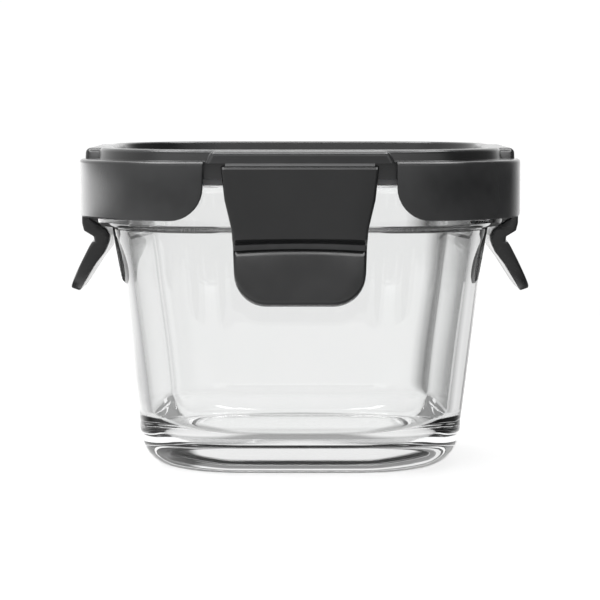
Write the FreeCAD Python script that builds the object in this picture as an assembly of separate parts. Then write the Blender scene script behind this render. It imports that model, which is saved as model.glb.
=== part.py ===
import FreeCAD, Part
import math
import os

# Square glass food container with a clip-on plastic lid.
# Millimetres, +Z up.  The origin is the centre of the face that the glass stands on.
# The front of the container looks towards -Y.
# A "half" size runs from the centre to the middle of a side, where the side is widest.

# Driving dimensions
LID_HALF = 58.0            # lid skirt, outside
SKIRT_TOP = 81.5           # where the skirt turns over into the lid's shoulder
SKIRT_BOTTOM = 66.7
SKIRT_WALL = 1.8
SIDE_RADIUS = 600.0        # every side of the plan bows out on this radius
LID_CORNER = 32.0          # plan corner radius at LID_HALF
CORNER_TAPER = 0.55        # plan corner radius lost for each millimetre of half size

# Glass container
FOOT_HALF = 34.6           # where the rounded base meets the table
FOOT_WIDTH = 4.0
PUSH_UP = 0.8              # rise of the underside inside the foot
BASE_ROUND_OUT = 8.4       # base rounding, across and up
BASE_ROUND_UP = 11.8
FLARE_HALF = 47.3          # where the wall starts to flare towards the collar
FLARE_Z = 48.0
NECK_HALF = 49.7           # wall just under the collar
NECK_ROUND = 1.2
COLLAR_HALF = 54.0         # at the mould line, where the collar is widest
COLLAR_LINE_Z = 69.8
COLLAR_DRAFT = 0.2         # both halves of the collar narrow by this away from the mould line
COLLAR_LOW_Z = 64.2        # underside of the collar, where the latches hold
COLLAR_LOW_ROUND = 1.3
RIM_Z = 75.4
RIM_OUTER_ROUND = 2.2
RIM_INNER_ROUND = 1.2
CAVITY_RIM_HALF = 47.0
CAVITY_SLOPE = 0.125       # millimetres outward for each millimetre up
CAVITY_FLOOR = 7.5
CAVITY_ROUND = 9.0

# Lid
PLATE_UNDER = 79.0
PANEL_Z = 81.0             # sunk middle panel of the lid
SHOULDER_ROUND = 1.0
RIDGE_TOP = 84.4
RIDGE_FOOT_OUTER = 53.4
RIDGE_TOP_OUTER = 52.7
RIDGE_TOP_INNER = 50.1
RIDGE_FOOT_INNER = 49.3
RIDGE_ROUND = 0.6
GUARD_OUTER = 55.2         # rib outside the seal
GUARD_INNER = 54.0
GUARD_BOTTOM = 77.1
PLUG_OUTER = 46.0          # rib inside the glass mouth
PLUG_INNER = 44.6
PLUG_BOTTOM = 74.0
CUTOUT_HALF = 24.2         # gap in the skirt for a latch
CUTOUT_ROUND = 8.5
BLOCK_HALF = 23.8          # raised block that carries a latch hinge
BLOCK_END_SLOPE = 1.6
BLOCK_FACE = 56.3
BLOCK_TOP = 84.2
BLOCK_UNDER = 81.1
BLOCK_ROUND = 1.0

# Seal
SEAL_OUTER = 53.9
SEAL_INNER = 46.1
SEAL_LIP_TOP = 76.8
SEAL_LIP_BOTTOM = 75.55
SEAL_LIPS = ((53.9, 52.2), (50.4, 48.8))   # outer and inner half of each lip

# Latches
LATCH_FACE = 57.9
LATCH_TOP = 80.5
PANEL_THICK = 2.0
TOP_CHAMFER = 0.9
TOP_HALF_WIDTH = 19.7
SHOULDER_HALF_WIDTH = 19.3
SHOULDER_Z = 74.0
WAIST_HALF_WIDTH = 17.1
WAIST_Z = 64.6
TIP_HALF_WIDTH = 16.1
TIP_Z = 45.4
TIP_CORNER = 7.7
STEP_TOP_Z = 64.1          # where the face turns in under the collar
STEP_LIP = (57.4, 62.1)
STEP_DEEP = (54.8, 60.6)   # innermost line of the step, half and height
LEDGE_FOOT = (54.8, 59.1)
LEDGE_EDGE = (55.4, 58.9)  # where the ledge turns down into the tab
TAB_TOP = (56.1, 57.75)    # end of the tab's steeper top edge
TAB_TIP_OUTER = 61.9
TAB_TIP_INNER = 59.3
TAB_ROUND = 0.8
CATCH_SPLIT = 54.3         # outside this the latch clears the collar
CATCH_LOW_Z = 53.2
CATCH_BACK = (51.9, 56.4)  # underside corner of the catch, half and height
CATCH_NOSE = (50.5, 59.9)
CATCH_LIP = (51.4, 62.6)
CATCH_TOP_Z = 63.0
WEB_HALF_WIDTH = 18.6
WEB_FACE = 57.0
WEB_THICK = 0.5

SIDES = ("front", "right", "back", "left")


def plan_wire(half, z):
    """Square outline at height z with bowed sides and rounded corners."""
    corner = LID_CORNER - CORNER_TAPER * (LID_HALF - half)
    sunk = SIDE_RADIUS - half
    reach = SIDE_RADIUS - corner
    centre = (math.sqrt(2 * reach ** 2 - sunk ** 2) - sunk) / 2
    swing = math.atan2(centre, centre + sunk)

    def on_bow(angle):
        x = SIDE_RADIUS * math.cos(angle) - sunk
        return FreeCAD.Vector(x, SIDE_RADIUS * math.sin(angle), z)

    diagonal = centre + corner * math.sqrt(0.5)
    side = Part.Arc(on_bow(-swing), on_bow(0), on_bow(swing)).toShape()
    start = on_bow(swing)
    end = FreeCAD.Vector(start.y, start.x, z)
    rounding = Part.Arc(start, FreeCAD.Vector(diagonal, diagonal, z), end).toShape()
    return Part.Wire([turned(edge, turn) for turn in range(4) for edge in (side, rounding)])


def turned(shape, quarters):
    """A copy turned about the container's axis by quarter turns."""
    copy = shape.copy()
    copy.rotate(FreeCAD.Vector(0, 0, 0), FreeCAD.Vector(0, 0, 1), 90 * quarters)
    return copy


def stack(levels):
    """Solid through plan outlines given as (half, z), bottom to top."""
    return Part.makeLoft([plan_wire(half, z) for half, z in levels], True, True)


def ring(outer, inner, bottom, top):
    """Straight-walled ring that follows the plan outline."""
    return stack([(outer, bottom), (outer, top)]).cut(stack([(inner, bottom), (inner, top)]))


def bend(half, z, across, up, start, end, steps):
    """Points (half, z) along an elliptical bend about a centre; 0 degrees is straight outward."""
    points = []
    for i in range(steps + 1):
        angle = math.radians(start + (end - start) * i / steps)
        points.append((half + across * math.cos(angle), z + up * math.sin(angle)))
    return points


def outline_wire(corners, place):
    """Closed wire through (a, b, radius) corners, set in space by place(point)."""
    count = len(corners)
    points = [FreeCAD.Vector(a, b, 0) for a, b, radius in corners]
    bends = []
    for i, (a, b, radius) in enumerate(corners):
        here = points[i]
        before = points[i - 1].sub(here).normalize()
        after = points[(i + 1) % count].sub(here).normalize()
        half_angle = before.getAngle(after) / 2
        trim = radius / math.tan(half_angle)
        inward = before.add(after).normalize()
        middle = here.add(inward * (radius / math.sin(half_angle) - radius))
        bends.append((here.add(before * trim), middle, here.add(after * trim), radius))
    edges = []
    for i, (first, middle, last, radius) in enumerate(bends):
        if radius > 0:
            edges.append(Part.Arc(place(first), place(middle), place(last)).toShape())
        following = bends[(i + 1) % count][0]
        edges.append(Part.makeLine(place(last), place(following)))
    return Part.Wire(edges)


def side_on(point):
    """A point (distance out, height) on the front side."""
    return FreeCAD.Vector(0, -point.x, point.y)


def face_on(point):
    """A point (across, height) seen from the front."""
    return FreeCAD.Vector(point.x, 0, point.y)


def side_prism(corners, half_width):
    """Prism with a side-on outline, running across the front."""
    face = Part.Face(outline_wire(corners, side_on))
    face.translate(FreeCAD.Vector(-half_width, 0, 0))
    return face.extrude(FreeCAD.Vector(2 * half_width, 0, 0))


def face_prism(corners, near, far):
    """Prism with a face-on outline, from `near` to `far` out from the centre."""
    face = Part.Face(outline_wire(corners, face_on))
    face.translate(FreeCAD.Vector(0, -near, 0))
    return face.extrude(FreeCAD.Vector(0, near - far, 0))


def mirrored(right):
    """Corners of the right half followed by their mirror images."""
    return right + [(-x, z, radius) for x, z, radius in reversed(right)]


def glass_container():
    """Thick tub with a flared wall, a heavy base and a collar round its rim."""
    outside = bend(FOOT_HALF, BASE_ROUND_UP, BASE_ROUND_OUT, BASE_ROUND_UP, -90, 0, 6)
    outside.append((FLARE_HALF, FLARE_Z))
    outside += bend(NECK_HALF + NECK_ROUND, COLLAR_LOW_Z - NECK_ROUND, NECK_ROUND, NECK_ROUND, 180, 90, 3)
    collar_end = COLLAR_HALF - COLLAR_DRAFT
    outside += bend(collar_end - COLLAR_LOW_ROUND, COLLAR_LOW_Z + COLLAR_LOW_ROUND,
                    COLLAR_LOW_ROUND, COLLAR_LOW_ROUND, -84, 0, 4)
    outside.append((COLLAR_HALF, COLLAR_LINE_Z))
    outside += bend(collar_end - RIM_OUTER_ROUND, RIM_Z - RIM_OUTER_ROUND,
                    RIM_OUTER_ROUND, RIM_OUTER_ROUND, 0, 90, 4)
    cavity_low = CAVITY_RIM_HALF - CAVITY_SLOPE * (RIM_Z - CAVITY_FLOOR - CAVITY_ROUND)
    inside = bend(cavity_low - CAVITY_ROUND, CAVITY_FLOOR + CAVITY_ROUND,
                  CAVITY_ROUND, CAVITY_ROUND, -90, 0, 6)
    inside.append((CAVITY_RIM_HALF, RIM_Z - RIM_INNER_ROUND))
    inside.append((CAVITY_RIM_HALF + RIM_INNER_ROUND, RIM_Z))
    inside.append((CAVITY_RIM_HALF + RIM_INNER_ROUND, RIM_Z + 1))
    hollow_half = FOOT_HALF - FOOT_WIDTH
    hollow = stack([(hollow_half, -1), (hollow_half, 0), (hollow_half - PUSH_UP, PUSH_UP)])
    return stack(outside).cut(stack(inside)).cut(hollow)


def hinge_block():
    """Raised block on the front of the lid, with sloping ends and a rounded front edge."""
    ends = mirrored([(BLOCK_HALF - BLOCK_END_SLOPE, BLOCK_TOP, BLOCK_ROUND), (BLOCK_HALF, BLOCK_UNDER, 0)])
    section = [
        (RIDGE_TOP_INNER, BLOCK_UNDER, 0),
        (BLOCK_FACE, BLOCK_UNDER, 0),
        (BLOCK_FACE, BLOCK_TOP, BLOCK_ROUND),
        (RIDGE_TOP_INNER, BLOCK_TOP, 0),
    ]
    return face_prism(ends, 0, LID_HALF).common(side_prism(section, BLOCK_HALF))


def skirt_cutout():
    """What is cut from the lid's edge for the front latch, with rounded lower corners."""
    wide = CUTOUT_HALF + 2 * CUTOUT_ROUND
    below = [
        (CUTOUT_HALF, SKIRT_BOTTOM, CUTOUT_ROUND),
        (wide, SKIRT_BOTTOM, 0),
        (wide, SKIRT_BOTTOM - CUTOUT_ROUND, 0),
    ]
    under_block = face_prism(mirrored([(CUTOUT_HALF, BLOCK_UNDER, 0)] + below), GUARD_OUTER, LID_HALF + 1)
    past_block = face_prism(mirrored([(CUTOUT_HALF, SKIRT_TOP + 1, 0)] + below), BLOCK_FACE, LID_HALF + 1)
    return under_block.fuse(past_block)


def lid():
    """Lid moulding: plate, ridge, sunk panel, four skirt corners, hinge blocks and two ribs."""
    inside_half = LID_HALF - SKIRT_WALL
    body = stack([
        (LID_HALF, SKIRT_BOTTOM),
        (LID_HALF, SKIRT_TOP - SHOULDER_ROUND),
        (LID_HALF - 0.3 * SHOULDER_ROUND, SKIRT_TOP - 0.3 * SHOULDER_ROUND),
        (LID_HALF - SHOULDER_ROUND, SKIRT_TOP),
    ])
    body = body.cut(stack([(inside_half, SKIRT_BOTTOM - 1), (inside_half, PLATE_UNDER)]))
    for quarters in range(4):
        body = body.cut(turned(skirt_cutout(), quarters))
    body = body.fuse(stack([
        (RIDGE_FOOT_OUTER, PANEL_Z),
        (RIDGE_TOP_OUTER + 0.3 * RIDGE_ROUND, RIDGE_TOP - RIDGE_ROUND),
        (RIDGE_TOP_OUTER - RIDGE_ROUND, RIDGE_TOP),
    ]))
    for quarters in range(4):
        body = body.fuse(turned(hinge_block(), quarters))
    body = body.cut(stack([(RIDGE_FOOT_INNER, PANEL_Z), (RIDGE_TOP_INNER, RIDGE_TOP + 0.1)]))
    body = body.fuse(ring(GUARD_OUTER, GUARD_INNER, GUARD_BOTTOM, PLATE_UNDER))
    body = body.fuse(ring(PLUG_OUTER, PLUG_INNER, PLUG_BOTTOM, PLATE_UNDER))
    return body.removeSplitter()


def seal_ring():
    """Soft ring between the two ribs of the lid, with two lips over the glass rim."""
    seal = ring(SEAL_OUTER, SEAL_INNER, SEAL_LIP_TOP, PLATE_UNDER)
    for outer, inner in SEAL_LIPS:
        seal = seal.fuse(ring(outer, inner, SEAL_LIP_BOTTOM, SEAL_LIP_TOP))
    return seal.removeSplitter()


def latch_outline():
    """Front view of a latch: wide at its hinge, a waist, and a tab with rounded corners."""
    right = [
        (TIP_HALF_WIDTH, TIP_Z, TIP_CORNER),
        (WAIST_HALF_WIDTH, WAIST_Z, 6),
        (SHOULDER_HALF_WIDTH, SHOULDER_Z, 8),
        (TOP_HALF_WIDTH, LATCH_TOP, 0.6),
    ]
    return face_prism(mirrored(right), CATCH_NOSE[0] - 1, TAB_TIP_OUTER + 1)


def latch():
    """Part of a latch that clears the collar: panel, step and finger tab in one bent plate."""
    panel_inner = LATCH_FACE - PANEL_THICK
    section = [
        (LATCH_FACE - TOP_CHAMFER, LATCH_TOP, 0.3),
        (LATCH_FACE, LATCH_TOP - TOP_CHAMFER, 0.6),
        (LATCH_FACE, STEP_TOP_Z, 0.6),
        (*STEP_LIP, 0.6),
        (*STEP_DEEP, 0.4),
        (*LEDGE_FOOT, 0.2),
        (*LEDGE_EDGE, 0.3),
        (*TAB_TOP, 0.5),
        (TAB_TIP_OUTER, TIP_Z + 1.0, TAB_ROUND),
        (TAB_TIP_INNER, TIP_Z, TAB_ROUND),
        (CATCH_SPLIT, CATCH_LOW_Z, 0),
        (CATCH_SPLIT, CATCH_TOP_Z, 0),
        (panel_inner, WAIST_Z + 0.6, 1.0),
        (panel_inner, LATCH_TOP, 0.3),
    ]
    return side_prism(section, TOP_HALF_WIDTH).common(latch_outline())


def latch_catch():
    """Rib on the inside of a latch that holds under the glass collar."""
    section = [
        (CATCH_SPLIT, CATCH_TOP_Z, 0),
        (CATCH_SPLIT, CATCH_LOW_Z, 0),
        (CATCH_BACK[0], CATCH_BACK[1], 2.0),
        (CATCH_NOSE[0], CATCH_NOSE[1], 1.0),
        (CATCH_LIP[0], CATCH_LIP[1], 0.5),
    ]
    return side_prism(section, TOP_HALF_WIDTH).common(latch_outline())


def hinge_web():
    """Thin strip that joins a latch to its hinge block and bends when the latch is lifted."""
    section = [
        (WEB_FACE - WEB_THICK, LATCH_TOP, 0),
        (WEB_FACE, LATCH_TOP, 0),
        (BLOCK_FACE, BLOCK_UNDER, 0),
        (BLOCK_FACE - WEB_THICK, BLOCK_UNDER, 0),
    ]
    return side_prism(section, WEB_HALF_WIDTH)


def main():
    nodes = {
        "glass_container": glass_container(),
        "lid": lid(),
        "seal_ring": seal_ring(),
    }
    for quarters, side in enumerate(SIDES):
        nodes["latch_" + side] = turned(latch(), quarters)
        nodes["catch_" + side] = turned(latch_catch(), quarters)
        nodes["hinge_web_" + side] = turned(hinge_web(), quarters)
    os.makedirs("parts", exist_ok=True)
    for name, shape in nodes.items():
        shape.exportStep("parts/" + name + ".step")


main()
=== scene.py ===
import bmesh
import bpy
import math
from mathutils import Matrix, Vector


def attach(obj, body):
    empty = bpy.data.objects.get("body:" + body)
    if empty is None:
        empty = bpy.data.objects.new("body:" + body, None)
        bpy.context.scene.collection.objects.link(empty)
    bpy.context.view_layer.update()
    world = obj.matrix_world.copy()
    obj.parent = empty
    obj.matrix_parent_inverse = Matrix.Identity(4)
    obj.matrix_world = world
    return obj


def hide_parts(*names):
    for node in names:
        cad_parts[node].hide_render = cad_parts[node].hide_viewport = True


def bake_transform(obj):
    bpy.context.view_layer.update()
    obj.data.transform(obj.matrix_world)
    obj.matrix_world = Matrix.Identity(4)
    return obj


# Square glass food container with a clip-on plastic lid.
# Sizes are in millimetres, +Z up, and MM turns them into metres.
# A "half" size runs from the centre to the middle of a side of the plan outline.
# A "quarter" is one of the four sides, counted from the front towards the right.
MM = 0.001
SIDES = ("front", "right", "back", "left")

# Plan outline, shared by the glass, the lid and the seal
SIDE_RADIUS = 600.0
LID_HALF = 58.0
LID_CORNER = 32.0
CORNER_TAPER = 0.55
SIDE_STEPS = 10
CORNER_STEPS = 22

# Glass container
PUSH_UP = 0.8              # rise of the underside inside the foot
FOOT_HALF = 34.6           # where the rounded base meets the table
BASE_ROUND_OUT = 8.4       # base rounding, across and up
BASE_ROUND_UP = 11.8
NECK_HALF = 49.7           # wall just under the collar
NECK_ROUND = 1.2
COLLAR_LOW_Z = 64.2        # underside of the collar
COLLAR_LOW_HALF = 53.7     # collar at the end of its lower rounding
COLLAR_LOW_ROUND = 1.3
COLLAR_HALF = 54.0         # at the mould line, where the collar is widest
COLLAR_TOP_HALF = 53.8     # collar at the start of the rim's rounding
RIM_Z = 75.4
RIM_OUTER_ROUND = 2.1
RIM_INNER_ROUND = 1.3
CAVITY_RIM_HALF = 47.0
CAVITY_FLOOR = 7.5
CAVITY_FLOOR_HALF = 30.86  # where the cavity's flat floor ends
CAVITY_ROUND = 9.0

# Skirt of the lid
SKIRT_BOTTOM = 66.7
SKIRT_TOP = 81.5
SKIRT_INNER = 56.2
SHOULDER_ROUND = 0.9
CUTOUT_HALF = 24.2         # gap in the skirt for a latch
CUTOUT_ROUND = 8.5
SKIRT_EDGE = 0.45          # rounding of the skirt's lower edges

# Lid plate, ridge and ribs
PLATE_UNDER = 79.0
PANEL_Z = 81.0             # sunk middle panel
CORE_TOP = 81.44           # shoulder of the core, a little under the top of the skirt
CORE_HALF = 55.7
RIDGE_TOP = 84.4
GUARD_OUTER = 55.2         # rib outside the seal
GUARD_INNER = 54.0
GUARD_BOTTOM = 77.1
PLUG_OUTER = 46.0          # rib inside the glass mouth
PLUG_INNER = 44.6
PLUG_BOTTOM = 74.0

# Hinge block
BLOCK_UNDER = 81.1
BLOCK_TOP = 84.2
BLOCK_FACE = 56.3
BLOCK_BACK = 51.5
BLOCK_FOOT = 23.8          # half length at the bottom and the top of its sloping ends
BLOCK_HEAD = 22.2
BLOCK_ROUND = 1.3

# Seal
SEAL_OUTER = 53.9
SEAL_INNER = 46.2
SEAL_TOP = 78.9
SEAL_LIP_TOP = 76.8
SEAL_LIP_BOTTOM = 75.6

# Latch: matching corners (out, height, radius) down its outer and its inner face
LATCH_OUTER = [
    (57.0, 80.5, 0), (57.9, 79.6, 0.3), (57.9, 72.0, 0), (57.9, 64.1, 0.6),
    (57.4, 62.1, 0.6), (54.8, 60.5, 0.5), (54.7, 59.1, 0.2), (55.35, 58.95, 0.4),
    (56.1, 57.75, 0.8), (57.85, 54.4, 0), (61.8, 46.4, 0),
]
LATCH_INNER = [
    (55.9, 80.5, 0), (55.9, 79.6, 0), (55.9, 72.0, 0), (55.9, 65.3, 0.8),
    (51.6, 62.6, 0.6), (50.6, 60.6, 0.5), (50.7, 59.2, 0.5), (51.2, 57.9, 0.5),
    (51.9, 56.4, 1.2), (54.4, 53.2, 0), (59.2, 45.5, 0),
]
# Height and half width of a latch
LATCH_WIDTHS = [(46.4, 16.1), (64.0, 17.0), (67.0, 17.65), (74.0, 19.25), (80.5, 19.7)]
TOP_CORNER = 0.5
TIP_CORNER = 7.7
SIDE_EDGE = 0.8            # rounding of a latch's side edges on the outer face
INNER_EDGE = 0.4
JUNCTION_Z = 59.5          # where the step meets the tab
JUNCTION_REACH = 2.5
JUNCTION_LIFT = 0.6        # the line where they meet arches up in the middle
JUNCTION_HALF = 17.0
CROSS_STEPS = 8            # strips across a latch's faces

# Living hinge, side on as (out, height)
WEB_HALF_WIDTH = 18.6
WEB_START = (56.15, 81.25)
WEB_END = (57.0, 80.42)
WEB_THROUGH = (-0.35, -0.36)

# Studio
FLOOR_RADIUS = 420.0
CAMERA_PLACE = (0, -660, 99)
CAMERA_AIM = (0, 0, 42.2)
CAMERA_LENS = 145.6
RAMP_TOP = 4.0             # brightness that the white end of a ramp stands for

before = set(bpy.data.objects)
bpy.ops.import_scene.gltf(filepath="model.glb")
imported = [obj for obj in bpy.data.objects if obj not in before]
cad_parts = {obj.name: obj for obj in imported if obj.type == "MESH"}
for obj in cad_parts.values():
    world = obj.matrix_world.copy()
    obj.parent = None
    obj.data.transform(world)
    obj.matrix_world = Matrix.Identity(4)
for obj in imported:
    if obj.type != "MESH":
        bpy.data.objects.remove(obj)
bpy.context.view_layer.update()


# ---------------------------------------------------------------- outlines

def plan_centre(half):
    """Corner radius, distance of the corner's centre, and where the corner starts, as an angle."""
    corner = LID_CORNER - CORNER_TAPER * (LID_HALF - half)
    sunk = SIDE_RADIUS - half
    reach = SIDE_RADIUS - corner
    centre = (math.sqrt(2 * reach ** 2 - sunk ** 2) - sunk) / 2
    return corner, centre, math.atan2(centre, centre + sunk)


def turned(x, y, quarters):
    """A plan point turned by quarter turns about the container's axis."""
    for _ in range(quarters % 4):
        x, y = -y, x
    return x, y


def plan_ring(half):
    """Points of the whole plan outline at one half size, always the same number of them."""
    corner, centre, swing = plan_centre(half)
    points = []
    for quarters in range(4):
        for i in range(SIDE_STEPS):
            angle = swing * (2 * i / SIDE_STEPS - 1)
            x = SIDE_RADIUS * math.cos(angle) - (SIDE_RADIUS - half)
            points.append(turned(x, SIDE_RADIUS * math.sin(angle), quarters))
        for i in range(CORNER_STEPS):
            angle = swing + (math.pi / 2 - 2 * swing) * i / CORNER_STEPS
            x = centre + corner * math.cos(angle)
            points.append(turned(x, centre + corner * math.sin(angle), quarters))
    return points


def rounded(corners, closed=True, steps=5):
    """Polyline through (a, b, radius) corners with each corner turned into an arc."""
    count = len(corners)
    points = []
    for i, (a, b, radius) in enumerate(corners):
        here = Vector((a, b))
        if radius == 0 or (not closed and i in (0, count - 1)):
            points.append((a, b))
            continue
        before = (Vector(corners[i - 1][:2]) - here).normalized()
        after = (Vector(corners[(i + 1) % count][:2]) - here).normalized()
        half_angle = before.angle(after) / 2
        centre = here + (before + after).normalized() * (radius / math.sin(half_angle))
        start = here + before * (radius / math.tan(half_angle)) - centre
        end = here + after * (radius / math.tan(half_angle)) - centre
        sweep = start.angle(end)
        for k in range(steps + 1):
            share = k / steps
            arm = start * math.sin((1 - share) * sweep) + end * math.sin(share * sweep)
            points.append(tuple(centre + arm / math.sin(sweep)))
    return points


def bend(half, z, across, up, start, end, steps):
    """Points (half, z) along an elliptical bend; 0 degrees is straight outward."""
    points = []
    for i in range(steps + 1):
        angle = math.radians(start + (end - start) * i / steps)
        points.append((half + across * math.cos(angle), z + up * math.sin(angle)))
    return points


# ---------------------------------------------------------------- meshes

class Shell:
    """Collects vertices in millimetres and faces for one piece."""

    def __init__(self):
        self.verts = []
        self.faces = []

    def add(self, points):
        """Adds points and returns their numbers."""
        first = len(self.verts)
        self.verts.extend(points)
        return list(range(first, len(self.verts)))

    def bridge(self, ring, following, closed=True):
        """Quads between two rows of vertices."""
        count = len(ring)
        for i in range(count if closed else count - 1):
            j = (i + 1) % count
            self.faces.append((ring[i], ring[j], following[j], following[i]))

    def sweep(self, profile, closed):
        """Carries a (half, z) profile round the plan outline."""
        rings = [self.add([(x, y, z) for x, y in plan_ring(half)]) for half, z in profile]
        for i in range(len(rings) - 1):
            self.bridge(rings[i], rings[i + 1])
        if closed:
            self.bridge(rings[-1], rings[0])
        else:
            self.faces.append(tuple(reversed(rings[0])))
            self.faces.append(tuple(rings[-1]))

    def piece(self, name, body, material, replaced, sharp=35.0):
        """Makes the Blender object, smooth shaded, and ties it to its CAD body."""
        mesh = bpy.data.meshes.new(name)
        mesh.from_pydata([tuple(c * MM for c in v) for v in self.verts], [], self.faces)
        bm = bmesh.new()
        bm.from_mesh(mesh)
        bmesh.ops.remove_doubles(bm, verts=bm.verts, dist=0.004 * MM)
        bmesh.ops.recalc_face_normals(bm, faces=bm.faces)
        # Flags vertices on convex edges, which the plastic lightens as a painted edge highlight
        painted_edge_highlight = bm.verts.layers.float.new("painted_edge_highlight")
        for vertex in bm.verts:
            convex = [edge.calc_face_angle_signed(0.0) for edge in vertex.link_edges]
            vertex[painted_edge_highlight] = 1.0 if max(convex) > math.radians(10) else 0.0
        bm.to_mesh(mesh)
        bm.free()
        mesh.shade_smooth()
        mesh.set_sharp_from_angle(angle=math.radians(sharp))
        mesh.materials.append(material)
        obj = bpy.data.objects.new(name, mesh)
        bpy.context.scene.collection.objects.link(obj)
        if body:
            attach(obj, body)
        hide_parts(*replaced)
        return obj


# ---------------------------------------------------------------- nodes

class Nodes:
    """Short calls for building a node tree."""

    def __init__(self, tree):
        self.tree = tree
        self.tree.nodes.clear()

    def add(self, kind, **settings):
        node = self.tree.nodes.new(kind)
        for name, value in settings.items():
            setattr(node, name, value)
        return node

    def link(self, start, end):
        self.tree.links.new(start, end)

    def math(self, operation, *values):
        """A Math node on numbers or sockets; returns its result."""
        node = self.add("ShaderNodeMath", operation=operation)
        for i, value in enumerate(values):
            if isinstance(value, (int, float)):
                node.inputs[i].default_value = value
            else:
                self.link(value, node.inputs[i])
        return node.outputs[0]

    def smooth(self, value, low, high, to_low=0.0, to_high=1.0):
        """Smooth step of a value from one range to another."""
        node = self.add("ShaderNodeMapRange", interpolation_type="SMOOTHSTEP")
        self.link(value, node.inputs["Value"])
        ranges = (("From Min", low), ("From Max", high), ("To Min", to_low), ("To Max", to_high))
        for name, number in ranges:
            node.inputs[name].default_value = number
        return node.outputs[0]

    def noise(self, coordinates, scale, detail=2.0, roughness=0.5):
        node = self.add("ShaderNodeTexNoise")
        self.link(coordinates, node.inputs["Vector"])
        node.inputs["Scale"].default_value = scale
        node.inputs["Detail"].default_value = detail
        node.inputs["Roughness"].default_value = roughness
        return node.outputs["Fac"]

    def ramp(self, factor, stops):
        """Colour ramp through (position, colour) stops."""
        node = self.add("ShaderNodeValToRGB")
        self.link(factor, node.inputs[0])
        elements = node.color_ramp.elements
        while len(elements) < len(stops):
            elements.new(0.5)
        for element, (position, colour) in zip(elements, stops):
            element.position = position
            element.color = (*colour, 1)
        return node.outputs[0]

    def mixed(self, factor, first, second):
        """Colour mix of two sockets."""
        node = self.add("ShaderNodeMix", data_type="RGBA")
        self.link(factor, node.inputs["Factor"])
        self.link(first, node.inputs["A"])
        self.link(second, node.inputs["B"])
        return node.outputs["Result"]

    def bump(self, height, strength, distance, normal=None):
        node = self.add("ShaderNodeBump")
        self.link(height, node.inputs["Height"])
        node.inputs["Strength"].default_value = strength
        node.inputs["Distance"].default_value = distance
        if normal is not None:
            self.link(normal, node.inputs["Normal"])
        return node.outputs[0]


def new_material(name):
    """A material with an empty tree, its Principled shader and object coordinates."""
    material = bpy.data.materials.new(name)
    material.use_nodes = True
    nodes = Nodes(material.node_tree)
    shader = nodes.add("ShaderNodeBsdfPrincipled")
    output = nodes.add("ShaderNodeOutputMaterial")
    nodes.link(shader.outputs[0], output.inputs["Surface"])
    coordinates = nodes.add("ShaderNodeTexCoord").outputs["Object"]
    return material, nodes, shader, coordinates


def glass_material():
    """Clear pressed glass: slight waves from the mould and a trace of green-grey."""
    material, nodes, shader, coordinates = new_material("pressed_glass")
    waves = nodes.noise(coordinates, 70.0, 1.0)
    tint = nodes.ramp(waves, [(0.3, (0.985, 0.992, 0.989)), (0.7, (0.996, 0.998, 0.997))])
    nodes.link(tint, shader.inputs["Base Color"])
    haze = nodes.smooth(nodes.noise(coordinates, 35.0, 3.0), 0.5, 0.8, 0.0, 0.012)
    nodes.link(haze, shader.inputs["Roughness"])
    nodes.link(nodes.bump(nodes.noise(coordinates, 30.0, 1.0), 0.05, 0.0004), shader.inputs["Normal"])
    shader.inputs["Transmission Weight"].default_value = 1.0
    shader.inputs["IOR"].default_value = 1.52
    return material


def plastic_material(name, highlight_strength):
    """Charcoal satin polypropylene: fine mould grain, flow marks, and a painted highlight that lightens
    convex edges, as strong as the second argument.
    """
    material, nodes, shader, coordinates = new_material(name)
    flow = nodes.noise(coordinates, 45.0, 3.0, 0.6)
    grain = nodes.noise(coordinates, 2600.0, 2.0)
    colour = nodes.ramp(flow, [(0.25, (0.0075, 0.0077, 0.0080)), (0.75, (0.0115, 0.0118, 0.0122))])
    # Convex edges are lightened towards pale grey: a painted edge highlight
    edge = nodes.add("ShaderNodeAttribute", attribute_name="painted_edge_highlight")
    edge_highlight_share = nodes.math("MULTIPLY", edge.outputs["Fac"], nodes.smooth(flow, 0.35, 0.65, 0.4, 1.0))
    mix = nodes.add("ShaderNodeMix", data_type="RGBA")
    nodes.link(nodes.math("MULTIPLY", edge_highlight_share, highlight_strength), mix.inputs["Factor"])
    nodes.link(colour, mix.inputs["A"])
    mix.inputs["B"].default_value = (0.060, 0.061, 0.063, 1)
    nodes.link(mix.outputs["Result"], shader.inputs["Base Color"])
    satin = nodes.smooth(nodes.noise(coordinates, 120.0, 4.0), 0.3, 0.7, 0.19, 0.25)
    nodes.link(satin, shader.inputs["Roughness"])
    rough_normal = nodes.bump(grain, 0.10, 0.00005)
    nodes.link(nodes.bump(flow, 0.05, 0.0002, rough_normal), shader.inputs["Normal"])
    shader.inputs["IOR"].default_value = 1.49
    return material


def silicone_material():
    """Soft grey silicone with a powdery surface."""
    material, nodes, shader, coordinates = new_material("seal_silicone")
    cloud = nodes.noise(coordinates, 150.0, 3.0)
    colour = nodes.ramp(cloud, [(0.3, (0.095, 0.095, 0.098)), (0.7, (0.130, 0.130, 0.134))])
    nodes.link(colour, shader.inputs["Base Color"])
    nodes.link(nodes.smooth(cloud, 0.3, 0.7, 0.42, 0.55), shader.inputs["Roughness"])
    nodes.link(nodes.bump(nodes.noise(coordinates, 1500.0), 0.15, 0.00008), shader.inputs["Normal"])
    shader.inputs["Subsurface Weight"].default_value = 0.15
    shader.inputs["Subsurface Scale"].default_value = 0.002
    shader.inputs["IOR"].default_value = 1.41
    return material


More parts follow.
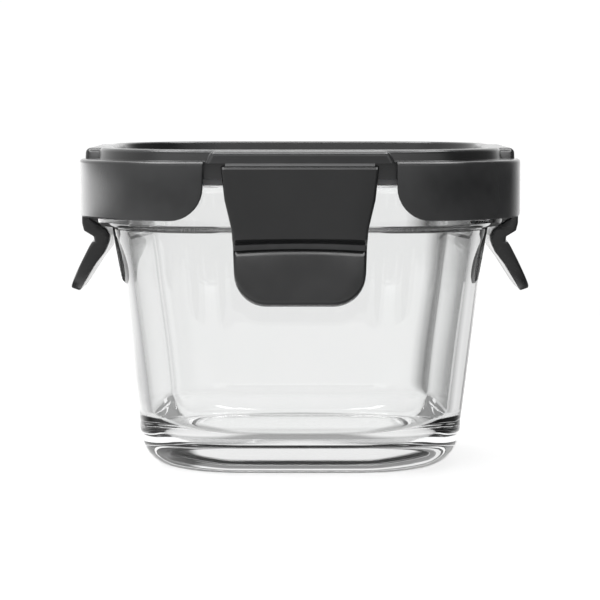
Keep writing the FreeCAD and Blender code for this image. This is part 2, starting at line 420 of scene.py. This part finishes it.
def floor_material():
    """Pale studio floor, evenly lit.

    Seen through the glass it has a painted contact shadow, a darker ring round the foot, and there
    and in reflections it ends a little outside the container."""
    material, nodes, shader, coordinates = new_material("studio_floor")
    paper = nodes.noise(coordinates, 6.0, 4.0)
    colour = nodes.ramp(paper, [(0.3, (0.80, 0.80, 0.80)), (0.7, (0.84, 0.84, 0.84))])
    nodes.link(colour, shader.inputs["Base Color"])
    nodes.link(colour, shader.inputs["Emission Color"])
    shader.inputs["Emission Strength"].default_value = 0.8
    shader.inputs["Roughness"].default_value = 0.9
    shader.inputs["Specular IOR Level"].default_value = 0.1
    path = nodes.add("ShaderNodeLightPath")
    distance = nodes.add("ShaderNodeVectorMath", operation="LENGTH")
    nodes.link(coordinates, distance.inputs[0])
    under_glass = nodes.add("ShaderNodeEmission")
    # Brightness under the glass by distance from the centre, in decimetres: a painted contact shadow ring
    # round the foot
    shade = [(0.29, (0.92,) * 3), (0.34, (0.38,) * 3), (0.40, (0.38,) * 3), (0.43, (0.92,) * 3)]
    decimetres = nodes.math("MULTIPLY", distance.outputs["Value"], 10.0)
    nodes.link(nodes.ramp(decimetres, shade), under_glass.inputs["Strength"])
    near = nodes.add("ShaderNodeMixShader")
    nodes.link(path.outputs["Is Transmission Ray"], near.inputs[0])
    nodes.link(shader.outputs[0], near.inputs[1])
    nodes.link(under_glass.outputs[0], near.inputs[2])
    bent = nodes.math("MAXIMUM", path.outputs["Is Transmission Ray"], path.outputs["Is Glossy Ray"])
    gone = nodes.math("MULTIPLY", bent, nodes.smooth(distance.outputs["Value"], 0.065, 0.085))
    fade = nodes.add("ShaderNodeMixShader")
    nodes.link(gone, fade.inputs[0])
    nodes.link(near.outputs[0], fade.inputs[1])
    nodes.link(nodes.add("ShaderNodeBsdfTransparent").outputs[0], fade.inputs[2])
    nodes.link(fade.outputs[0], material.node_tree.get_output_node("ALL").inputs["Surface"])
    return material


glass = glass_material()
# The number sets the strength of the painted edge highlight
lid_plastic = plastic_material("charcoal_lid", 0.35)
silicone = silicone_material()


# ---------------------------------------------------------------- glass

def build_glass():
    """Thick tub: concave foot, rounded base, flared wall, collar, rim and cavity."""
    outside = [(26.0, PUSH_UP), (29.4, PUSH_UP), (30.1, 0.62), (30.6, 0.25), (31.0, 0.0), (33.2, 0.0)]
    outside += bend(FOOT_HALF, BASE_ROUND_UP, BASE_ROUND_OUT, BASE_ROUND_UP, -90, 0, 16)
    outside += [(44.55, 24.0), (46.0, 36.0), (47.3, 48.0), (48.6, 56.5)]
    outside += bend(NECK_HALF + NECK_ROUND, COLLAR_LOW_Z - NECK_ROUND,
                    NECK_ROUND, NECK_ROUND, 172, 92, 5)
    outside += bend(COLLAR_LOW_HALF - COLLAR_LOW_ROUND, COLLAR_LOW_Z + COLLAR_LOW_ROUND,
                    COLLAR_LOW_ROUND, COLLAR_LOW_ROUND, -88, 0, 6)
    outside += [(53.85, 68.5), (COLLAR_HALF, 69.7), (COLLAR_HALF, 69.9), (53.9, 71.2)]
    outside += bend(COLLAR_TOP_HALF - RIM_OUTER_ROUND, RIM_Z - RIM_OUTER_ROUND,
                    RIM_OUTER_ROUND, RIM_OUTER_ROUND, 0, 90, 8)
    inside = bend(CAVITY_RIM_HALF + RIM_INNER_ROUND, RIM_Z - RIM_INNER_ROUND,
                  RIM_INNER_ROUND, RIM_INNER_ROUND, 92, 176, 5)
    inside += [(46.3, 68.5), (44.6, 55.0), (42.7, 40.0), (40.8, 24.5)]
    inside += bend(CAVITY_FLOOR_HALF, CAVITY_FLOOR + CAVITY_ROUND,
                   CAVITY_ROUND, CAVITY_ROUND, 0, -90, 14)
    inside += [(30.0, CAVITY_FLOOR), (26.0, CAVITY_FLOOR)]
    shell = Shell()
    shell.sweep(outside + inside, False)
    return shell.piece("container_glass", "glass", glass, ["glass_container"], 60.0)


# ---------------------------------------------------------------- lid

def lid_core(shell):
    """Plate with its sunk panel, stacking ridge, guard rib and plug rib, as one swept profile."""
    profile = [(36.0, PANEL_Z), (47.0, PANEL_Z)]
    profile += rounded([
        (47.0, PANEL_Z, 0),
        (49.3, PANEL_Z, 0.6),
        (50.1, RIDGE_TOP, 0.8),
        (52.7, RIDGE_TOP, 1.2),
        (53.3, CORE_TOP, 0.4),
        (CORE_HALF, CORE_TOP, 0),
    ], closed=False)[1:]
    profile += rounded([
        (CORE_HALF, CORE_TOP, 0),
        (CORE_HALF, BLOCK_UNDER, 0),
        (GUARD_OUTER, BLOCK_UNDER, 0),
        (GUARD_OUTER, GUARD_BOTTOM, 0.25),
        (GUARD_INNER, GUARD_BOTTOM, 0.25),
        (GUARD_INNER, PLATE_UNDER, 0.3),
        (PLUG_OUTER, PLATE_UNDER, 0.3),
        (PLUG_OUTER, PLUG_BOTTOM, 0.4),
        (PLUG_INNER, PLUG_BOTTOM, 0.4),
        (PLUG_INNER, PLATE_UNDER, 0.5),
        (42.0, PLATE_UNDER, 0),
    ], closed=False, steps=3)[1:]
    profile += [(34.0, PLATE_UNDER)]
    shell.sweep(profile, False)


def plan_point(half, run, value):
    """Plan point between the middle of the front and the middle of the right side.

    Run 0 takes a distance along the front, run 2 along the right side, and run 1 a share
    of the way round the corner between the ends of the two cutouts' rounded corners."""
    corner, centre, swing = plan_centre(half)
    if run == 1:
        first = math.asin((CUTOUT_HALF + CUTOUT_ROUND - centre) / corner)
        angle = first + (math.pi / 2 - 2 * first) * value
        return centre + corner * math.sin(angle), -centre - corner * math.cos(angle)
    if value < SIDE_RADIUS * math.sin(swing):
        out = math.sqrt(SIDE_RADIUS ** 2 - value ** 2) - (SIDE_RADIUS - half)
    else:
        out = centre + math.sqrt(corner ** 2 - (value - centre) ** 2)
    return (value, -out) if run == 0 else (out, -value)


def lower_corner():
    """Rounded lower corner of a skirt panel: (distance along the side, height), steepest part first."""
    points = []
    for step in range(10):
        angle = math.radians(10 * step)
        points.append((CUTOUT_HALF + CUTOUT_ROUND * (1 - math.cos(angle)),
                       SKIRT_BOTTOM + CUTOUT_ROUND * (1 - math.sin(angle))))
    return points


def lid_corner():
    """One skirt corner as a closed shell with rounded edges, between the front and the right side."""
    low = lower_corner()
    steep, columns = low[1:3], [low[0]] + low[3:]
    stations = [(0, lateral, z) for lateral, z in columns]
    stations += [(1, k / 18, SKIRT_BOTTOM) for k in range(1, 18)]
    stations += [(2, lateral, z) for lateral, z in reversed(columns)]
    last = len(stations) - 1
    bm = bmesh.new()

    def row(half, z=None):
        line = []
        for run, value, low_z in stations:
            x, y = plan_point(half, run, value)
            line.append(bm.verts.new((x, y, low_z if z is None else z)))
        return line

    def lower_edge(bottom):
        """The bottom row with the extra points of the steep part put in at both ends."""
        chain = []
        for i, vertex in enumerate(bottom):
            if i == last:
                chain += [between(bottom, last - 1, p) for p in reversed(steep)]
            chain.append(vertex)
            if i == 0:
                chain += [between(bottom, 0, p) for p in steep]
        return chain

    def between(bottom, i, point):
        lateral, z = point
        ends = [stations[i][1], stations[i + 1][1]]
        share = (lateral - ends[0]) / (ends[1] - ends[0])
        spot = bottom[i].co.lerp(bottom[i + 1].co, share)
        return bm.verts.new((spot.x, spot.y, z))

    levels = [(LID_HALF, SKIRT_TOP - SHOULDER_ROUND)]
    levels += bend(LID_HALF - SHOULDER_ROUND, SKIRT_TOP - SHOULDER_ROUND,
                   SHOULDER_ROUND, SHOULDER_ROUND, 22.5, 90, 3)
    levels += [(55.0, SKIRT_TOP), (55.0, PLATE_UNDER), (SKIRT_INNER, PLATE_UNDER)]
    rows = [row(half, z) for half, z in levels]
    outer = lower_edge(row(LID_HALF))
    inner = lower_edge(row(SKIRT_INNER))
    extra = len(steep)
    for chain, top in ((outer, rows[0]), (inner, rows[-1])):
        bm.faces.new(chain[:extra + 2] + [top[1], top[0]])
        for i in range(1, last - 1):
            bm.faces.new((chain[i + extra], chain[i + extra + 1], top[i + 1], top[i]))
        bm.faces.new(chain[-extra - 2:] + [top[last], top[last - 1]])
    for first, second in [(outer, inner)] + list(zip(rows, rows[1:])):
        for i in range(len(first) - 1):
            bm.faces.new((first[i], first[i + 1], second[i + 1], second[i]))
    for end in (0, -1):
        bm.faces.new([line[end] for line in rows] + [inner[end], outer[end]])
    bmesh.ops.recalc_face_normals(bm, faces=bm.faces)
    sharp = [edge for edge in bm.edges if edge.calc_face_angle() > math.radians(50)
             and min(v.co.z for v in edge.verts) < PLATE_UNDER - 0.01]
    bmesh.ops.bevel(bm, geom=sharp, offset=SKIRT_EDGE, segments=3, profile=0.5,
                    affect="EDGES", clamp_overlap=False)
    return lists(bm)


def lists(bm):
    """Vertices and faces of a bmesh as plain lists; frees it."""
    bm.verts.index_update()
    verts = [tuple(v.co) for v in bm.verts]
    faces = [tuple(v.index for v in face.verts) for face in bm.faces]
    bm.free()
    return verts, faces


def hinge_block():
    """Raised block over a latch: sloping ends and soft edges, on the front side."""
    bm = bmesh.new()
    outline = ((-BLOCK_FOOT, BLOCK_UNDER), (BLOCK_FOOT, BLOCK_UNDER),
               (BLOCK_HEAD, BLOCK_TOP), (-BLOCK_HEAD, BLOCK_TOP))
    corners = []
    for out in (BLOCK_FACE, BLOCK_BACK):
        for x, z in outline:
            corners.append(bm.verts.new((x, -out, z)))
    front, back = corners[:4], corners[4:]
    bm.faces.new(front)
    bm.faces.new(list(reversed(back)))
    for i in range(4):
        j = (i + 1) % 4
        bm.faces.new((front[i], back[i], back[j], front[j]))
    bmesh.ops.recalc_face_normals(bm, faces=bm.faces)
    round_edges = [e for e in bm.edges if max(v.co.z for v in e.verts) > BLOCK_UNDER + 1]
    bmesh.ops.bevel(bm, geom=round_edges, offset=BLOCK_ROUND, segments=6, profile=0.5,
                    affect="EDGES", clamp_overlap=False)
    return lists(bm)


def build_lid():
    shell = Shell()
    lid_core(shell)
    for verts, faces in (lid_corner(), hinge_block()):
        for quarters in range(4):
            numbers = shell.add([(*turned(x, y, quarters), z) for x, y, z in verts])
            shell.faces.extend(tuple(numbers[i] for i in face) for face in faces)
    return shell.piece("lid_moulding", "lid", lid_plastic, ["lid"])


def build_seal():
    """Ring between the lid's ribs with two lips over the glass rim."""
    shell = Shell()
    shell.sweep(rounded([
        (SEAL_OUTER, SEAL_TOP, 0),
        (SEAL_OUTER, SEAL_LIP_BOTTOM, 0.3),
        (52.2, SEAL_LIP_BOTTOM, 0.5),
        (52.0, SEAL_LIP_TOP, 0.4),
        (50.6, SEAL_LIP_TOP, 0.4),
        (50.4, SEAL_LIP_BOTTOM, 0.5),
        (48.8, SEAL_LIP_BOTTOM, 0.5),
        (48.6, SEAL_LIP_TOP, 0.4),
        (SEAL_INNER, SEAL_LIP_TOP, 0.3),
        (SEAL_INNER, SEAL_TOP, 0),
    ], steps=4), True)
    return shell.piece("seal_lips", "lid", silicone, ["seal_ring"])


# ---------------------------------------------------------------- latches

def lengths(points):
    """Running length of a polyline at each of its points."""
    total = [0.0]
    for a, b in zip(points, points[1:]):
        total.append(total[-1] + math.dist(a[:2], b[:2]))
    return total


def lookup(value, xs, ys):
    """Straight-line interpolation in a rising table, carried on past its last entry."""
    for i in range(len(xs) - 1):
        if value <= xs[i + 1] or i == len(xs) - 2:
            return ys[i] + (ys[i + 1] - ys[i]) * (value - xs[i]) / (xs[i + 1] - xs[i])


class Skin:
    """One face of a latch, side on, looked up by corner number; fractions lie between corners."""

    def __init__(self, corners):
        self.marks = lengths(corners)
        self.path = rounded(corners, closed=False, steps=6)
        self.runs = lengths(self.path)

    def at(self, number):
        length = lookup(number, range(len(self.marks)), self.marks)
        length *= self.runs[-1] / self.marks[-1]
        return Vector([lookup(length, self.runs, [p[k] for p in self.path]) for k in (0, 1)])

    def number_at(self, length):
        return lookup(length, self.marks, range(len(self.marks)))


OUTER_SKIN = Skin(LATCH_OUTER)
INNER_SKIN = Skin(LATCH_INNER)
LATCH_LENGTH = OUTER_SKIN.marks[-1]


def latch_point(x, length, depth):
    """A latch point on the front side: across, down the outer skin, and depth below that skin."""
    number = OUTER_SKIN.number_at(min(max(length, 0.0), LATCH_LENGTH))
    outer, inner = OUTER_SKIN.at(number), INNER_SKIN.at(number)
    thick = (inner - outer).length
    point = outer.lerp(inner, min(depth / thick, 1.0))
    near_junction = math.exp(-((outer.y - JUNCTION_Z) / JUNCTION_REACH) ** 2)
    arch = JUNCTION_LIFT * (1 - (x / JUNCTION_HALF) ** 2) * near_junction * (1 - min(depth / thick, 1.0))
    return (x, -point.x, point.y + arch)


def latch_chain():
    """Right half of a latch's outline from its top edge to its tip, as (x, length down)."""
    zs, widths = zip(*LATCH_WIDTHS)
    tip_z = zs[0] + TIP_CORNER
    stretch = OUTER_SKIN.marks[-1] / OUTER_SKIN.runs[-1]
    stops = [run * stretch for run in OUTER_SKIN.runs]
    for run in INNER_SKIN.runs:
        number = INNER_SKIN.number_at(run * INNER_SKIN.marks[-1] / INNER_SKIN.runs[-1])
        stops.append(lookup(number, range(len(OUTER_SKIN.marks)), OUTER_SKIN.marks))
    chain = []
    for angle in (0, 30, 60, 90):
        a = math.radians(angle)
        chain.append((widths[-1] - TOP_CORNER * (1 - math.sin(a)), TOP_CORNER * (1 - math.cos(a))))
    for stop in sorted(stops):
        z = OUTER_SKIN.at(OUTER_SKIN.number_at(stop)).y
        if stop > chain[-1][1] + 0.12 and z > tip_z + 0.1:
            chain.append((lookup(z, zs, widths), stop))
    above, tip = LATCH_OUTER[-2], LATCH_OUTER[-1]
    slant = math.dist(tip[:2], above[:2]) / (above[1] - tip[1])
    for k in range(10):
        a = math.radians(10 * k)
        down = zs[0] + TIP_CORNER * (1 - math.sin(a))
        width = lookup(down, zs, widths) - TIP_CORNER * (1 - math.cos(a))
        chain.append((width, LATCH_LENGTH - (down - zs[0]) * slant))
    return chain


def inset(chain, amount):
    """The right half of the outline moved inward, square to its own line."""
    moved = []
    for i, (x, length) in enumerate(chain):
        ahead = chain[min(i + 1, len(chain) - 1)]
        behind = chain[max(i - 1, 0)]
        if i == 0:
            behind = (0.0, chain[0][1])
        if i == len(chain) - 1:
            ahead = (0.0, chain[-1][1])
        run = (Vector(ahead) - Vector(behind)).normalized()
        moved.append((x - run.y * amount, length + run.x * amount))
    return moved


def build_latch(quarters, side):
    """A latch with its catch: bent plate, rounded outline, and the catch rib on its inside."""
    outline = latch_chain()
    rings = []
    for angle in (0, 22, 45, 68, 90):
        a = math.radians(angle)
        rings.append((SIDE_EDGE * (1 - math.sin(a)), SIDE_EDGE * (1 - math.cos(a)), False))
    for angle in (90, 45, 0):
        a = math.radians(angle)
        rings.append((INNER_EDGE * (1 - math.sin(a)), INNER_EDGE * (1 - math.cos(a)), True))
    shell = Shell()
    rows = []
    for across, depth, from_inside in rings:
        points = []
        chain = inset(outline, across)
        for x, length in chain + [(-x, length) for x, length in reversed(chain)]:
            sink = depth
            if from_inside:
                number = OUTER_SKIN.number_at(min(max(length, 0.0), LATCH_LENGTH))
                sink = (INNER_SKIN.at(number) - OUTER_SKIN.at(number)).length - depth
            px, py, pz = latch_point(x, length, sink)
            points.append((*turned(px, py, quarters), pz))
        rows.append(shell.add(points))
    for first, second in zip(rows, rows[1:]):
        shell.bridge(first, second)
    for row, (across, _, from_inside) in ((rows[0], rings[0]), (rows[-1], rings[-1])):
        sink = math.inf if from_inside else 0.0
        lines = []
        for i, (x, length) in enumerate(inset(outline, across)):
            line = [row[i]]
            for k in range(1, CROSS_STEPS):
                px, py, pz = latch_point(x * (1 - 2 * k / CROSS_STEPS), length, sink)
                line += shell.add([(*turned(px, py, quarters), pz)])
            line.append(row[2 * len(outline) - 1 - i])
            lines.append(line)
        for first, second in zip(lines, lines[1:]):
            shell.bridge(first, second, closed=False)
        shell.faces.append(tuple(lines[0]))
        shell.faces.append(tuple(lines[-1]))
    return shell.piece("latch_plate_" + side, "latch_" + side, latch_plastic,
                       ["latch_" + side, "catch_" + side])


def build_web(quarters, side):
    """Living hinge: a thin strip from the hinge block to the top of its latch."""
    shell = Shell()
    rows = []
    for k in range(11):
        outer = Vector(WEB_START).lerp(Vector(WEB_END), k / 10)
        ring = []
        for side_sign, share in ((-1, 0), (1, 0), (1, 1), (-1, 1)):
            x = side_sign * WEB_HALF_WIDTH
            spot = outer + Vector(WEB_THROUGH) * share
            ring.append((*turned(x, -spot.x, quarters), spot.y))
        rows.append(shell.add(ring))
    for first, second in zip(rows, rows[1:]):
        shell.bridge(first, second)
    shell.faces.append(tuple(rows[0]))
    shell.faces.append(tuple(rows[-1]))
    web = shell.piece("hinge_strip_" + side, None, latch_plastic, ["hinge_web_" + side])
    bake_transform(web)
    return web


# ---------------------------------------------------------------- studio

def build_floor():
    """Large pale disc under the container."""
    bm = bmesh.new()
    bmesh.ops.create_circle(bm, cap_ends=True, segments=96, radius=FLOOR_RADIUS * MM)
    mesh = bpy.data.meshes.new("studio_floor")
    bm.to_mesh(mesh)
    bm.free()
    mesh.materials.append(floor_material())
    floor = bpy.data.objects.new("studio_floor", mesh)
    bpy.context.scene.collection.objects.link(floor)


def azimuth_ramp(nodes, place, stops):
    """Brightness by azimuth in degrees: 0 straight behind the container, 90 right, -90 left."""
    return nodes.ramp(place, [(angle / 360 + 0.5, (bright / RAMP_TOP,) * 3) for angle, bright in stops])


def build_world():
    """White studio: window light from the left, dim at the right, a soft light overhead.

    Rays through the glass see their own ring of light, with a dark card behind at the right.
    Only reflections see the overhead light, and the camera sees an even backdrop."""
    world = bpy.data.worlds.new("studio")
    bpy.context.scene.world = world
    world.use_nodes = True
    nodes = Nodes(world.node_tree)
    direction = nodes.add("ShaderNodeTexCoord").outputs["Generated"]
    split = nodes.add("ShaderNodeSeparateXYZ")
    nodes.link(direction, split.inputs[0])
    x, y, z = split.outputs
    place = nodes.math("MULTIPLY_ADD", nodes.math("ARCTAN2", x, y), 0.5 / math.pi, 0.5)
    level = azimuth_ramp(nodes, place, [
        (-180, 1.0), (-110, 1.0), (-70, 4.0), (-48, 4.0), (0, 2.2), (22, 1.6), (50, 0.1), (130, 0.1),
        (180, 1.0),
    ])
    low = azimuth_ramp(nodes, place, [
        (-180, 1.0), (-95, 1.6), (-60, 0.2), (100, 0.2), (180, 1.0),
    ])
    high = azimuth_ramp(nodes, place, [
        (-180, 1.0), (-90, 1.4), (0, 1.7), (22, 1.5), (50, 0.3), (130, 0.3), (180, 1.0),
    ])
    clear = azimuth_ramp(nodes, place, [
        (-180, 1.1), (-100, 1.1), (-60, 0.4), (-45, 1.0), (10, 1.1), (14, 0.1), (26, 0.1), (30, 1.0),
        (45, 1.1), (60, 0.4), (85, 0.4), (100, 1.1), (180, 1.1),
    ])
    path = nodes.add("ShaderNodeLightPath")
    room = nodes.mixed(nodes.smooth(z, -0.24, -0.13), low, level)
    room = nodes.mixed(nodes.smooth(z, 0.0, 0.08), room, high)
    dim_above = nodes.math("MULTIPLY", nodes.smooth(z, 0.33, 0.42), nodes.smooth(y, -0.3, 0.1, 0.0, 0.72))
    clear = nodes.math("MULTIPLY", clear, nodes.math("SUBTRACT", 1.0, dim_above))
    seen = nodes.mixed(path.outputs["Is Transmission Ray"], room, clear)
    seen = nodes.math("MULTIPLY", seen, RAMP_TOP)
    front_top = nodes.math("MULTIPLY", nodes.smooth(z, 0.15, 0.30), nodes.smooth(z, 0.62, 0.50))
    front_top = nodes.math("MULTIPLY", front_top, nodes.smooth(y, -0.3, -0.6, 0.0, 1.3))
    hoop = nodes.smooth(z, 0.83, 0.86, 0.0, 10.0)
    hoop = nodes.math("SUBTRACT", hoop, nodes.smooth(z, 0.93, 0.96, 0.0, 7.5))
    overhead = nodes.math("ADD", hoop, front_top)
    softbox = nodes.math("MULTIPLY", overhead, path.outputs["Is Glossy Ray"])
    lamp = nodes.add("ShaderNodeBackground")
    nodes.link(nodes.math("ADD", seen, softbox), lamp.inputs["Strength"])
    backdrop = nodes.add("ShaderNodeBackground")
    backdrop.inputs["Color"].default_value = (1, 1, 1, 1)
    backdrop.inputs["Strength"].default_value = 1.02
    shown = nodes.add("ShaderNodeMixShader")
    nodes.link(path.outputs["Is Camera Ray"], shown.inputs[0])
    nodes.link(lamp.outputs[0], shown.inputs[1])
    nodes.link(backdrop.outputs[0], shown.inputs[2])
    output = nodes.add("ShaderNodeOutputWorld")
    nodes.link(shown.outputs[0], output.inputs["Surface"])


def build_camera():
    """Camera in front, a little above the lid, looking slightly down."""
    data = bpy.data.cameras.new("camera")
    data.sensor_width = 36.0
    data.lens = CAMERA_LENS
    camera = bpy.data.objects.new("camera", data)
    camera.location = Vector(CAMERA_PLACE) * MM
    aim = Vector(CAMERA_AIM) * MM - camera.location
    camera.rotation_euler = aim.to_track_quat("-Z", "Y").to_euler()
    bpy.context.scene.collection.objects.link(camera)
    bpy.context.scene.camera = camera


# The number sets the strength of the painted edge highlight
latch_plastic = plastic_material("charcoal_latch", 0.5)
build_glass()
build_lid()
build_seal()
for number, name in enumerate(SIDES):
    build_latch(number, name)
    build_web(number, name)
build_floor()
build_world()
build_camera()
bpy.context.scene.view_settings.view_transform = "Standard"
